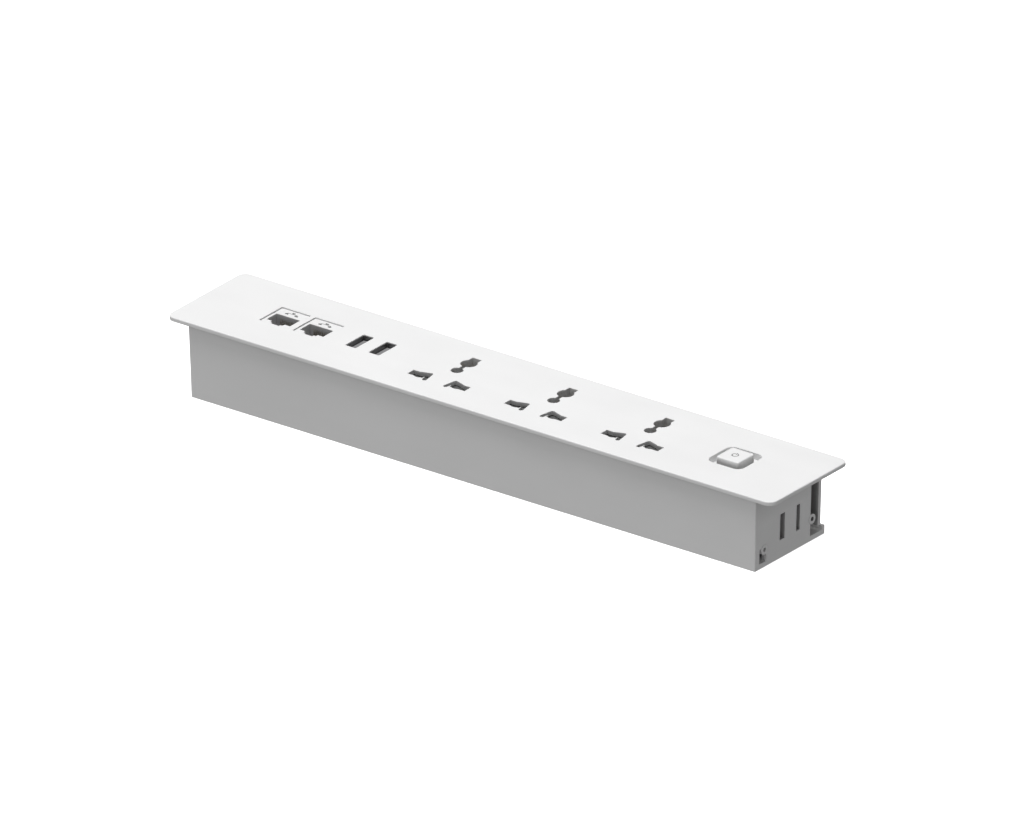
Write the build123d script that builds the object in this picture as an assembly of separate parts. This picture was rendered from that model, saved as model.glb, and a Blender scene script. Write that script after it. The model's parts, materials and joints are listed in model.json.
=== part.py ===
from build123d import *
import os

# Desk power strip: a flanged cover on a shallow tray that drops into a slot in a desk top.
# X runs along the strip, +Y points to its back, Z is up. The origin is the centre of the
# underside. All sizes are in millimetres.

os.makedirs("parts", exist_ok=True)

# ---- driving dimensions ------------------------------------------------------------------
PLATE_LENGTH = 310.0
PLATE_WIDTH = 53.5
PLATE_TOP = 35.0
PLATE_THICK = 2.0
PLATE_CORNER = 4.0
PLATE_EDGE = 0.5                         # rounding of its top and lower rims
LOWER_EDGE = 0.4
UNDER = PLATE_TOP - PLATE_THICK          # underside of the flange

SEAT_DEPTH = 0.4                         # groove in the flange that the walls stand in
SEAT_GAP = 0.1

TRAY_TOP = UNDER + SEAT_DEPTH
TRAY_HALF_LENGTH = 144.1                 # at the floor; the ends lean out by END_LEAN
END_LEAN = 1.1
TRAY_FRONT = -23.7                       # at the floor; the front leans out by FRONT_LEAN
FRONT_LEAN = 0.8
TRAY_BACK = 24.0
WALL = 2.2
FLOOR = 2.3
LIP_HEIGHT = 4.0
LIP_THICK = 1.8
TRAY_EDGE = 0.5                          # rounding of its two front corners
ROOT = 0.5                               # ribs start this far inside the wall they grow from
BOSS_ROOT = 1.0                          # and bosses this far inside their rib
RIM_RIB_Y = (-22.1, -20.9)               # rib under the cover that locates the front wall
RIM_RIB_X = (-138.0, 123.0)
RIM_RIB_BOTTOM = 30.5

PANEL_FRONT = 19.2                       # rear panel, set in from the lip
PANEL_THICK = 1.8
PANEL_BACK = PANEL_FRONT + PANEL_THICK
PANEL_NOTCH = 5.2                        # its right end stops this far up
PANEL_SCREW_Z = 25.0
VENT_COUNT = 8
VENT_PITCH = 4.0
VENT_WIDTH = 1.6
VENT_Z = (9.0, 19.0)
END_WALL_BACK = 14.0                     # right end wall stops here and leaves a channel
END_SLOTS_Y = ((-7.0, -3.7), (4.2, 6.6))
END_SLOTS_Z = (8.3, 20.1)
NOTCH_Y = (-20.85, -16.05)
NOTCH_TOP = 9.0
NOTCH_DEPTH = 5.4
NOTCH_BACK_TOP = 12.0
NOTCH_BACK_REACH = 1.5                   # the web behind the notch runs on past its side
CHANNEL_LEFT = 101.2
CHANNEL_STOP = 1.2
PARTITION = 1.4
PARTITION_BACK = END_WALL_BACK - 0.2

BOSSES = ((-17.5, 8.0), (15.1, 9.9))     # Y and Z of the two in the right end
BOSS_RADIUS = 2.2
BOSS_BORE = 1.0
BOSS_END = 144.55                        # just proud of the end wall
RIB_X = 130.0
RIB_THICK = 2.0
RIB_TOP = 12.3

JACK_XS = (-114.15, -97.15)
JACK_Y = 0.55
JACK_CUTOUT = (14.9, 15.9)
JACK_BODY = (14.3, 15.5)
JACK_TOP = 34.5
JACK_BOTTOM = 0.6
JACK_FLOOR_HALF = (7.5, 8.1)             # half of the window in the tray floor, along X and Y
JACK_CUTOUT_CORNER = 0.4
PORT_DEPTH = 13.5

USB_XS = (-75.8, -63.9)
USB_Y = 0.2
USB_CUTOUT = (5.4, 12.9)
USB_CUTOUT_CORNER = 0.5
USB_SHELL = (5.3, 12.8)
USB_WALL = 0.3
USB_TOP = 34.6
TONGUE_TOP = 32.8
TONGUE_FOOT = 3.0
TONGUE_X = (-2.0, -0.2)

SOCKET_XS = (-26.8, 22.6, 72.0)
PIN_ROW_Y = -11.05                       # line and neutral holes, and the earth group behind them
PIN_X = 9.5
EARTH_Y = 9.5
CARRIER_HALF = 18.0
CARRIER_FRONT = -17.5
CARRIER_BACK = 17.5
CARRIER_TOP = 29.0
CARRIER_BOTTOM = 9.0
CARRIER_SCREWS = (12.0, 12.5)
CARRIER_POST_BOTTOM = 25.0
CARRIER_POST_RADIUS = 2.5
CARRIER_SCREW_SEAT = 22.0
CHUTE_WALL = 1.0                         # collar that leads the earth pin down to its carrier
CHUTE_BOTTOM = CARRIER_TOP + 0.1

SHUTTER_FRONT = -15.3
SHUTTER_BACK = -6.9
SHUTTER_BOTTOM = 29.3
SHUTTER_TOP = 32.7
SHUTTER_HALF = 15.6
SHUTTER_INNER = 4.0
SPRING_STOP = 6.5

BUTTON_X = 116.2
BUTTON_Y = 0.3
WELL_SIZE = 17.5
WELL_CORNER = 3.5
WELL_DEPTH = 3.0
WELL_WALL = 1.45
WELL_BOTTOM = PLATE_TOP - WELL_DEPTH - 1.8
THROAT_GAP = 0.3
THROAT_CORNER = 1.6
SWITCH_SCREW_X = 12.2
SWITCH_POST_RADIUS = 2.3
SWITCH_PILOT_REACH = 0.6                 # its pilot holes run this far up into the plate
EAR_THICK = 2.5
CAP_TOP = 36.4
CAP_TOP_SIZE = 11.2
CAP_BASE_SIZE = 12.2
CAP_BASE = 28.5
CAP_ROOF = 2.4
BUTTON_TRAVEL = 2.2
HOUSING_HALF = 9.2
HOUSING_BOTTOM = 12.0
CAVITY_HALF = 6.9
CAVITY_FLOOR = 14.0

BOARD_X = (-83.8, -54.2)
BOARD_Y = (-18.2, 16.2)
BOARD_TOP = 20.0
BOARD_THICK = 1.6
BOARD_SCREWS = [(x, y) for x in (-81.0, -57.0) for y in (-15.5, 13.5)]
BOARD_POST_RADIUS = 2.5
BOARD_PILOT_STOP = 2.0

POSTS = [(-118.0, -18.8), (-49.4, -18.8), (47.3, -18.8), (127.0, -18.8),
         (-86.8, 8.0), (-49.4, 8.0), (47.3, 8.0), (102.5, 8.0)]
POST_RADIUS = 2.6
POST_BORE_TOP = 16.0
SCREW_RADIUS = 1.1
PILOT_RADIUS = 1.15
CLEARANCE_RADIUS = 1.4                   # holes that a screw passes through freely
SINK_RADIUS = 2.9                        # sunk seats of the screws in the tray floor
SINK_DEPTH = 1.5
PANEL_LUGS = (-120.0, -2.1, 96.0)
LUG_SIZE = 7.0
LUG_SKIN = 1.0                           # left in front of the pilot hole
LUG_BOTTOM = 21.0

SYMBOL_RADIUS = 1.55
SYMBOL_LINE = 0.4
SYMBOL_DEPTH = 0.25
PLUNGER_BOTTOM = 22.0
BRIDGE_Z = (21.4, PLUNGER_BOTTOM)
TERMINAL_X = 3.5                         # either side of the button's middle
TERMINAL_Y = -4.9
TERMINAL_BOTTOM = 6.0
BLOCK_X = (-141.0, -125.0)               # terminal block in the left end
BLOCK_Y = (8.6, 18.0)
BLOCK_TOP = 14.3
POLE_YS = (10.2, 13.3, 16.4)
POLE_Z = (5.0, 8.4)
POLE_HALF = 1.1
POLE_SCREW_XS = (-137.0, -129.0)
CLAMP_GAP = 0.05
CLAMP_X = (-139.5, -126.5)
CLAMP_Z = 6.4
LEAD_RADIUS = 0.9
FEED_RADIUS = 0.6

GLAND_Z = 18.0
GLAND_BORE = 4.25
GLAND_NECK = 6.0
GLAND_HOLE = 6.2
STRIP_Z = (8.2, 9.0)                     # busbar strips lie under the carriers
LINE_STRIP_Y = (-16.1, -14.2)
NEUTRAL_STRIP_Y = (-7.9, -6.1)
EARTH_STRIP_Y = (11.4, 13.6)
STRIP_LEFT = -46.5
STRIP_RIGHT = 98.0
NEUTRAL_LEFT = -50.5
CLIP_HALF = 4.6                          # half length of the line and neutral clips
TAB_HALF = 2.0                           # half width of the tabs that join them to a strip


# ---- shape helpers -----------------------------------------------------------------------
def slab(x0, x1, y0, y1, z0, z1):
    """A box between two corners."""
    return Pos((x0 + x1) / 2, (y0 + y1) / 2, (z0 + z1) / 2) * Box(x1 - x0, y1 - y0, z1 - z0)


def rod(x, y, z0, z1, radius):
    """An upright cylinder from z0 to z1."""
    return Pos(x, y, (z0 + z1) / 2) * Cylinder(radius, z1 - z0)


def rod_x(x0, x1, y, z, radius):
    """A cylinder along X from x0 to x1."""
    return Pos((x0 + x1) / 2, y, z) * Rot(0, 90, 0) * Cylinder(radius, x1 - x0)


def rod_y(x, y0, y1, z, radius):
    """A cylinder along Y from y0 to y1."""
    return Pos(x, (y0 + y1) / 2, z) * Rot(90, 0, 0) * Cylinder(radius, y1 - y0)


def rounded_block(x, y, size_x, size_y, corner, z0, z1):
    """An upright block with rounded vertical edges."""
    return extrude(Pos(x, y, z0) * RectangleRounded(size_x, size_y, corner), z1 - z0)


def leaning_block(half_x, front, back, z0, z1, lean_x, lean_front):
    """A block whose end and front walls lean outwards towards the top."""
    low = Pos(0, (front + back) / 2, z0) * Rectangle(2 * half_x, back - front)
    front_top = front - lean_front
    high = Pos(0, (front_top + back) / 2, z1) * Rectangle(2 * (half_x + lean_x),
                                                          back - front_top)
    return loft([low, high])


def screw(head_radius, head_height, length):
    """A pan-head cross-recess screw: head above z = 0, shank down to -length."""
    rounding = 0.45 * head_height
    recess = 0.55 * head_height
    arm = 0.62 * head_radius
    slot = 0.22 * head_radius
    body = rod(0, 0, 0, head_height, head_radius)
    body = fillet(body.edges().sort_by(Axis.Z)[-1], rounding)
    body += rod(0, 0, -length, 0, SCREW_RADIUS)
    body -= slab(-arm, arm, -slot, slot, head_height - recess, head_height)
    body -= slab(-slot, slot, -arm, arm, head_height - recess, head_height)
    return body


def coil(wire_radius, radius, turns, length):
    """A compression spring standing on z = 0."""
    path = Helix(pitch=(length - 2 * wire_radius) / turns, height=length - 2 * wire_radius,
                 radius=radius)
    section = Plane(origin=path @ 0, z_dir=path % 0) * Circle(wire_radius)
    return Pos(0, 0, wire_radius) * sweep(section, path=path)


def wire(points, bend, radius):
    """An insulated lead along straight runs joined by tangent arcs."""
    path = FilletPolyline(*points, radius=bend)
    section = Plane(origin=path @ 0, z_dir=path % 0) * Circle(radius)
    return sweep(section, path=path)


def save(node, *solids):
    """Write one sub-part; several solids stay separate in one file."""
    shape = solids[0] if len(solids) == 1 else Compound(children=list(solids))
    export_step(shape, f"parts/{node}.step")


# ---- openings in the cover ---------------------------------------------------------------
def capsule(start, end, radius):
    """A round-ended slot between two points."""
    return make_hull((Pos(*start) * Circle(radius) + Pos(*end) * Circle(radius)).edges())


def pin_hole(side):
    """One line or neutral hole: a flat slot, a round hole and a tilted blade slot in one."""
    slot_outer = 14.6
    slot_inner = 7.0
    slot_width = 4.5
    round_radius = 2.8
    blade_radius = 1.0
    blade_back = (side * 6.4, PIN_ROW_Y + 2.9)
    blade_front = (side * 5.4, PIN_ROW_Y - 2.8)
    centre = side * (slot_outer + slot_inner) / 2
    hole = Pos(centre, PIN_ROW_Y) * Rectangle(slot_outer - slot_inner, slot_width)
    round_hole = Pos(side * PIN_X, PIN_ROW_Y) * Circle(round_radius)
    blade_end = Pos(*blade_back) * Circle(blade_radius)
    hole += make_hull((round_hole + blade_end).edges())
    hole += capsule(blade_back, blade_front, blade_radius)
    return hole


def earth_hole():
    """The earth hole: a flat slot over a large and a small round hole."""
    slot_y = 12.2
    slot_size = (4.6, 6.0)
    large_radius = 3.6
    small_y = 1.3
    small_radius = 2.65
    neck_y = 5.0
    neck_size = (1.8, 4.0)
    hole = Pos(0, slot_y) * Rectangle(*slot_size)
    hole += Pos(0, EARTH_Y) * Circle(large_radius)
    hole += Pos(0, small_y) * Circle(small_radius)
    hole += Pos(0, neck_y) * Rectangle(*neck_size)
    return hole


def jack_port():
    """The plug opening of a network jack, with its stepped latch notch towards the front."""
    plug_y = -0.7
    plug_size = (12.0, 7.0)
    latch_y = -4.8
    latch_size = (6.4, 1.5)
    tip_y = -6.1
    tip_size = (4.1, 1.4)
    port = Pos(0, plug_y) * Rectangle(*plug_size)
    port += Pos(0, latch_y) * Rectangle(*latch_size)
    port += Pos(0, tip_y) * Rectangle(*tip_size)
    return port


# ---- casing ------------------------------------------------------------------------------
def seat_groove():
    """Groove in the flange's underside for the tray's walls and the rear panel."""
    half = TRAY_HALF_LENGTH + END_LEAN + SEAT_GAP
    front = TRAY_FRONT - FRONT_LEAN - SEAT_GAP
    width = WALL + 2 * SEAT_GAP
    groove = slab(-half, half, front, PANEL_BACK + SEAT_GAP, UNDER, TRAY_TOP)
    return groove - slab(-half + width, half - width, front + width, PANEL_FRONT - SEAT_GAP,
                         UNDER, TRAY_TOP)


def top_cover():
    plate = rounded_block(0, 0, PLATE_LENGTH, PLATE_WIDTH, PLATE_CORNER, UNDER, PLATE_TOP)
    plate = fillet(plate.faces().sort_by(Axis.Z)[-1].edges(), PLATE_EDGE)
    plate = fillet(plate.faces().sort_by(Axis.Z)[0].edges(), LOWER_EDGE)
    plate -= seat_groove()
    plate += slab(*RIM_RIB_X, *RIM_RIB_Y, RIM_RIB_BOTTOM, UNDER)

    well_outer = WELL_SIZE + 2 * WELL_WALL
    plate += rounded_block(BUTTON_X, BUTTON_Y, well_outer, well_outer, WELL_CORNER + WELL_WALL,
                           WELL_BOTTOM, UNDER)
    for x in (BUTTON_X - SWITCH_SCREW_X, BUTTON_X + SWITCH_SCREW_X):
        plate += rod(x, BUTTON_Y, WELL_BOTTOM, UNDER, SWITCH_POST_RADIUS)
        plate -= rod(x, BUTTON_Y, WELL_BOTTOM, UNDER + SWITCH_PILOT_REACH, PILOT_RADIUS)
    plate -= rounded_block(BUTTON_X, BUTTON_Y, WELL_SIZE, WELL_SIZE, WELL_CORNER,
                           PLATE_TOP - WELL_DEPTH, PLATE_TOP)
    throat = CAP_BASE_SIZE + 2 * THROAT_GAP
    plate -= rounded_block(BUTTON_X, BUTTON_Y, throat, throat, THROAT_CORNER, WELL_BOTTOM,
                           PLATE_TOP)

    for x in JACK_XS:
        plate -= rounded_block(x, JACK_Y, *JACK_CUTOUT, JACK_CUTOUT_CORNER, UNDER, PLATE_TOP)
    for x in USB_XS:
        plate -= rounded_block(x, USB_Y, *USB_CUTOUT, USB_CUTOUT_CORNER, UNDER, PLATE_TOP)
    for x in SOCKET_XS:
        chute = Pos(x, 0, CHUTE_BOTTOM) * offset(earth_hole(), CHUTE_WALL)
        plate += extrude(chute, UNDER - CHUTE_BOTTOM)
        plate -= extrude(Pos(x, 0, CHUTE_BOTTOM) * earth_hole(), PLATE_TOP - CHUTE_BOTTOM)
        plate -= extrude(Pos(x, 0, UNDER) * (pin_hole(-1) + pin_hole(1)), PLATE_THICK)
        for side in (-1, 1):
            post = (x + side * CARRIER_SCREWS[0], CARRIER_SCREWS[1], CARRIER_POST_BOTTOM, UNDER)
            plate += rod(*post, CARRIER_POST_RADIUS)
            plate -= rod(*post, PILOT_RADIUS)

    for x, y in POSTS:
        plate += rod(x, y, FLOOR, UNDER, POST_RADIUS)
        plate -= rod(x, y, FLOOR, POST_BORE_TOP, PILOT_RADIUS)
    for x, y in BOARD_SCREWS:
        plate += rod(x, y, BOARD_TOP, UNDER, BOARD_POST_RADIUS)
        plate -= rod(x, y, BOARD_TOP, UNDER - BOARD_PILOT_STOP, PILOT_RADIUS)
    for x in PANEL_LUGS:
        plate += slab(x - LUG_SIZE / 2, x + LUG_SIZE / 2, PANEL_FRONT - LUG_SIZE, PANEL_FRONT,
                      LUG_BOTTOM, UNDER)
        plate -= rod_y(x, PANEL_FRONT - LUG_SIZE + LUG_SKIN, PANEL_FRONT, PANEL_SCREW_Z,
                       PILOT_RADIUS)
    return plate


def end_bosses():
    """Cross rib inside the right end, and the two bosses that run from it through the wall."""
    rib = slab(RIB_X, RIB_X + RIB_THICK, TRAY_FRONT + WALL - ROOT, PANEL_FRONT, FLOOR, RIB_TOP)
    for y, z in BOSSES:
        rib += rod_x(RIB_X + BOSS_ROOT, BOSS_END, y, z, BOSS_RADIUS)
    return rib


def body_tray():
    outer = leaning_block(TRAY_HALF_LENGTH, TRAY_FRONT, TRAY_BACK, 0, TRAY_TOP,
                          END_LEAN, FRONT_LEAN)
    outer = fillet(outer.edges().filter_by(lambda e: e.center().Y < TRAY_FRONT
                                           and abs(e.center().X) > TRAY_HALF_LENGTH
                                           and e.length > UNDER / 2), TRAY_EDGE)
    hollow = leaning_block(TRAY_HALF_LENGTH - WALL, TRAY_FRONT + WALL, TRAY_BACK - LIP_THICK,
                           FLOOR, TRAY_TOP, END_LEAN, FRONT_LEAN)
    tray = outer - hollow
    reach = PLATE_LENGTH / 2
    end_in = TRAY_HALF_LENGTH - WALL - ROOT
    tray -= slab(-reach, reach, PANEL_FRONT, TRAY_BACK, LIP_HEIGHT, TRAY_TOP)
    tray -= slab(-reach, -end_in, PANEL_FRONT, TRAY_BACK - LIP_THICK, FLOOR, TRAY_TOP)
    tray -= slab(end_in, reach, END_WALL_BACK, TRAY_BACK - LIP_THICK, FLOOR, TRAY_TOP)
    tray -= slab(end_in, reach, *NOTCH_Y, FLOOR, NOTCH_TOP)
    for slot_y in END_SLOTS_Y:
        tray -= slab(end_in, reach, *slot_y, *END_SLOTS_Z)
    tray -= rod_x(-reach, -end_in, 0, GLAND_Z, GLAND_HOLE)

    web_x = TRAY_HALF_LENGTH - NOTCH_DEPTH
    tray += slab(web_x - PARTITION, web_x, TRAY_FRONT + WALL - ROOT,
                 NOTCH_Y[1] + NOTCH_BACK_REACH, FLOOR, NOTCH_BACK_TOP)
    tray += slab(CHANNEL_LEFT, TRAY_HALF_LENGTH - BOSS_ROOT, PARTITION_BACK - PARTITION,
                 PARTITION_BACK, FLOOR, UNDER)
    tray += slab(CHANNEL_LEFT - CHANNEL_STOP, CHANNEL_LEFT, PARTITION_BACK - PARTITION,
                 PANEL_FRONT, FLOOR, UNDER)
    tray += end_bosses()
    for y, z in BOSSES:
        tray -= rod_x(RIB_X + RIB_THICK + BOSS_ROOT, BOSS_END, y, z, BOSS_BORE)

    for x in JACK_XS:
        half_x, half_y = JACK_FLOOR_HALF
        tray -= slab(x - half_x, x + half_x, JACK_Y - half_y, JACK_Y + half_y, 0, FLOOR)
    for x, y in POSTS:
        tray -= rod(x, y, 0, FLOOR, CLEARANCE_RADIUS)
        tray -= rod(x, y, 0, SINK_DEPTH, SINK_RADIUS)
    return tray


def rear_panel():
    reach = PLATE_LENGTH / 2
    panel = leaning_block(TRAY_HALF_LENGTH, PANEL_FRONT, PANEL_BACK, 0, TRAY_TOP, END_LEAN, 0)
    panel -= slab(-reach, reach, PANEL_FRONT, PANEL_BACK, 0, FLOOR)
    panel -= slab(RIB_X + RIB_THICK, reach, PANEL_FRONT, PANEL_BACK, FLOOR, PANEL_NOTCH)
    for x in PANEL_LUGS:
        panel -= rod_y(x, PANEL_FRONT, PANEL_BACK, PANEL_SCREW_Z, CLEARANCE_RADIUS)
    for index in range(VENT_COUNT):
        x = BOARD_X[0] + VENT_PITCH * index
        panel -= slab(x, x + VENT_WIDTH, PANEL_FRONT, PANEL_BACK, *VENT_Z)
    return panel


def gland_parts():
    """Cable gland in the left end: bush with a flange outside, seal and nut inside."""
    wall_out = -TRAY_HALF_LENGTH - END_LEAN * GLAND_Z / TRAY_TOP
    wall_in = wall_out + WALL
    lean_gap = 0.32
    seal_thick = 1.0
    seal_radius = 7.6
    flange_out = wall_out - 4.0
    flange_radius = 8.0
    nose_out = wall_out - 8.5
    nose_radius = 6.8
    nose_bevel = 1.2
    neck_end = wall_in + 5.5
    nut_radius = 8.2
    nut_thick = 4.0
    thread_gap = 0.05
    bush = rod_x(flange_out, wall_out - seal_thick, 0, GLAND_Z, flange_radius)
    bush += rod_x(nose_out, flange_out, 0, GLAND_Z, nose_radius)
    bush = chamfer(bush.edges().sort_by(Axis.X)[0], nose_bevel)
    bush += rod_x(wall_out - seal_thick, neck_end, 0, GLAND_Z, GLAND_NECK)
    bush -= rod_x(nose_out, neck_end, 0, GLAND_Z, GLAND_BORE)
    seal = rod_x(wall_out - seal_thick, wall_out - lean_gap, 0, GLAND_Z, seal_radius)
    seal -= rod_x(wall_out - seal_thick, wall_out, 0, GLAND_Z, GLAND_NECK + 2 * thread_gap)
    nut_plane = Plane(origin=(wall_in + lean_gap, 0, GLAND_Z), z_dir=(1, 0, 0))
    nut = extrude(nut_plane * RegularPolygon(nut_radius, 6), nut_thick)
    nut -= rod_x(wall_in, neck_end, 0, GLAND_Z, GLAND_NECK + thread_gap)
    return bush, seal, nut


# ---- network jacks -----------------------------------------------------------------------
def jack_body(x):
    corner = 0.3
    tab_half = 1.0
    tab_y = (-3.0, 4.0)
    tab_bottom = 30.8
    slit_half = 4.3
    slit_y = (2.0, 2.8)                  # passage for the contact wires
    body = rounded_block(0, JACK_Y, *JACK_BODY, corner, JACK_BOTTOM, JACK_TOP)
    for x_tab in (-JACK_BODY[0] / 2, JACK_BODY[0] / 2):
        body += slab(x_tab - tab_half, x_tab + tab_half, *tab_y, tab_bottom, UNDER)
    body -= extrude(Pos(0, 0, JACK_TOP - PORT_DEPTH) * jack_port(), PORT_DEPTH)
    body -= extrude(Pos(0, 0, JACK_BOTTOM) * jack_port(), PORT_DEPTH)
    body -= slab(-slit_half, slit_half, *slit_y, JACK_BOTTOM + PORT_DEPTH,
                 JACK_TOP - PORT_DEPTH)
    return Pos(x, 0, 0) * body


def jack_contacts(x):
    """Eight sprung contact wires that join the top port to the bottom port."""
    middle = (JACK_TOP + JACK_BOTTOM) / 2
    reach = 13.8
    dip = 7.5
    tip_y = 0.6
    back_y = 2.4
    wire_thick = 0.3
    wire_half = 0.2
    count = 8
    pitch = 1.02
    path = Polyline((tip_y, middle - reach + dip), (back_y, middle - reach),
                    (back_y, middle + reach), (tip_y, middle + reach - dip))
    strip = extrude(Plane.YZ * trace(path, wire_thick), wire_half, both=True)
    first = x - pitch * (count - 1) / 2
    return [Pos(first + pitch * index, 0, 0) * strip for index in range(count)]


# ---- USB charger -------------------------------------------------------------------------
def usb_shell(x):
    corner = 0.45
    inside_x = USB_SHELL[0] / 2 - USB_WALL
    inside_y = USB_SHELL[1] / 2 - USB_WALL
    shell = rounded_block(x, USB_Y, *USB_SHELL, corner, BOARD_TOP, USB_TOP)
    shell -= slab(x - inside_x, x + inside_x, USB_Y - inside_y, USB_Y + inside_y,
                  BOARD_TOP, USB_TOP)
    return shell


def usb_tongue(x):
    foot = BOARD_TOP + TONGUE_FOOT
    foot_x = 2.3
    foot_y = 6.0
    half_width = 5.55
    tongue = slab(x - foot_x, x + foot_x, USB_Y - foot_y, USB_Y + foot_y, BOARD_TOP, foot)
    tongue += slab(x + TONGUE_X[0], x + TONGUE_X[1], USB_Y - half_width, USB_Y + half_width,
                   foot, TONGUE_TOP)
    return tongue


def usb_contacts(x):
    """Four flat contacts on the tongue's wide side."""
    offsets = (-3.5, -1.0, 1.0, 3.5)
    side = x + TONGUE_X[1]
    thick = 0.18
    half_width = 0.5
    bare_tip = 0.7                       # the tongue shows this far above them
    return [slab(side, side + thick, USB_Y + y - half_width, USB_Y + y + half_width,
                 BOARD_TOP + TONGUE_FOOT, TONGUE_TOP - bare_tip) for y in offsets]


def usb_board():
    board = slab(*BOARD_X, *BOARD_Y, BOARD_TOP - BOARD_THICK, BOARD_TOP)
    for x, y in BOARD_SCREWS:
        board -= rod(x, y, BOARD_TOP - BOARD_THICK, BOARD_TOP, CLEARANCE_RADIUS)
    return board


def transformer():
    """Ferrite frame around a wound coil, hung under the board."""
    x = -71.0
    y = -6.0
    half_x = 7.0
    half_y = 5.0
    limb = 2.0
    top = BOARD_TOP - BOARD_THICK - 0.6
    bottom = top - 10.4
    gap = 0.1
    coil_size = (9.6, 12.4)
    frame = slab(x - half_x, x + half_x, y - half_y, y + half_y, bottom, top)
    frame -= slab(x - half_x + limb, x + half_x - limb, y - half_y, y + half_y,
                  bottom + limb, top - limb)
    winding = rounded_block(x, y, *coil_size, limb, bottom + limb + gap, top - limb - gap)
    return frame, winding


def board_capacitors():
    top = BOARD_TOP - BOARD_THICK
    height = 10.5
    rounding = 0.6
    places = ((-77.0, 6.5, 4.0), (-68.0, 7.0, 3.2), (-60.0, 5.0, 3.2))
    cans = []
    for x, y, radius in places:
        can = rod(x, y, top - height, top, radius)
        cans.append(fillet(can.edges().sort_by(Axis.Z)[0], rounding))
    return cans


def board_chips():
    """Three flat packages: X and Y extents and height of each."""
    places = ((-72.0, -67.5, 9.5, 13.5, 1.5), (-72.0, -68.0, -14.5, -10.0, 1.8),
              (-80.5, -79.0, -3.0, 5.0, 1.2))
    return [slab(*extents, BOARD_TOP, BOARD_TOP + height) for *extents, height in places]


# ---- mains sockets -----------------------------------------------------------------------
def socket_carrier(x):
    """Block with open chambers for the clips, shutter rails and seats for the springs."""
    rail_x = 16.0
    rail_back = 4.0
    chamber_x = (3.4, 15.8)
    chamber_y = (-14.9, -7.3)
    earth_half = 4.4
    earth_y = (-1.9, 15.8)
    stop_x = (6.5, 12.6)
    stop_thick = 1.6
    screw_hole = 1.5
    post_hole = 2.7
    head_hole = 2.8
    body = slab(-CARRIER_HALF, CARRIER_HALF, CARRIER_FRONT, CARRIER_BACK,
                CARRIER_BOTTOM, CARRIER_TOP)
    for side in (-1, 1):
        rail = sorted((side * rail_x, side * CARRIER_HALF))
        body += slab(*rail, CARRIER_FRONT, rail_back, CARRIER_TOP, UNDER)
        chamber = sorted(side * edge for edge in chamber_x)
        body -= slab(*chamber, *chamber_y, CARRIER_BOTTOM, CARRIER_TOP)
        stop = sorted(side * edge for edge in stop_x)
        body += slab(*stop, SPRING_STOP, SPRING_STOP + stop_thick, CARRIER_TOP, UNDER)
        hole = (side * CARRIER_SCREWS[0], CARRIER_SCREWS[1])
        body -= rod(*hole, CARRIER_BOTTOM, CARRIER_TOP, screw_hole)
        body -= rod(*hole, CARRIER_POST_BOTTOM, CARRIER_TOP, post_hole)
        body -= rod(*hole, CARRIER_BOTTOM, CARRIER_SCREW_SEAT, head_hole)
    body -= slab(-earth_half, earth_half, *earth_y, CARRIER_BOTTOM, CARRIER_TOP)
    return Pos(x, 0, 0) * body


def shutter(x):
    """One sliding shutter: a ramped plate under each pin hole, joined at the front."""
    flat_top = 1.6
    front_height = 1.0
    link = 3.2
    profile = Polygon((SHUTTER_FRONT, SHUTTER_BOTTOM), (SHUTTER_BACK, SHUTTER_BOTTOM),
                      (SHUTTER_BACK, SHUTTER_TOP), (SHUTTER_BACK - flat_top, SHUTTER_TOP),
                      (SHUTTER_FRONT, SHUTTER_BOTTOM + front_height), align=None)
    body = extrude(Plane.YZ * profile, SHUTTER_HALF, both=True)
    body -= slab(-SHUTTER_INNER, SHUTTER_INNER, SHUTTER_FRONT + link, SHUTTER_BACK,
                 SHUTTER_BOTTOM, SHUTTER_TOP)
    return Pos(x, 0, 0) * body


def shutter_springs(x):
    z = (SHUTTER_BOTTOM + SHUTTER_TOP) / 2
    spring = Rot(-90, 0, 0) * coil(wire_radius=0.2, radius=1.2, turns=9,
                                   length=SPRING_STOP - SHUTTER_BACK)
    return [Pos(x + side * PIN_X, SHUTTER_BACK, z) * spring for side in (-1, 1)]


def contact_clip(wide, narrow):
    """Section of two facing leaves that pinch a pin and flare at the mouth."""
    thick = 0.6
    straight = 7.0
    pinch = 12.0
    mouth = 16.5
    base = STRIP_Z[0] + thick / 2
    half = trace(Polyline((wide, base), (wide, base + straight), (narrow, base + pinch),
                          (wide, base + mouth)), thick)
    foot = Pos(0, (STRIP_Z[0] + STRIP_Z[1]) / 2) * Rectangle(2 * wide, STRIP_Z[1] - STRIP_Z[0])
    return half + mirror(half, Plane.YZ) + foot


def pin_clips(side):
    """The clips under the line holes (side -1) or the neutral holes (side 1)."""
    section = Pos(PIN_ROW_Y, 0) * contact_clip(wide=2.6, narrow=1.7)
    clip = extrude(Plane.YZ * section, CLIP_HALF, both=True)
    return [Pos(x + side * PIN_X, 0, 0) * clip for x in SOCKET_XS]


def line_busbar():
    bar = slab(STRIP_LEFT, STRIP_RIGHT, *LINE_STRIP_Y, *STRIP_Z)
    for x, clip in zip(SOCKET_XS, pin_clips(-1)):
        bar += clip
        bar += slab(x - PIN_X - TAB_HALF, x - PIN_X + TAB_HALF, LINE_STRIP_Y[1], PIN_ROW_Y,
                    *STRIP_Z)
    return bar


def neutral_busbar():
    bar = slab(NEUTRAL_LEFT, SOCKET_XS[-1] + PIN_X + 2 * TAB_HALF, *NEUTRAL_STRIP_Y, *STRIP_Z)
    for x, clip in zip(SOCKET_XS, pin_clips(1)):
        bar += clip
        bar += slab(x + PIN_X - TAB_HALF, x + PIN_X + TAB_HALF, PIN_ROW_Y, NEUTRAL_STRIP_Y[0],
                    *STRIP_Z)
    return bar


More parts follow.
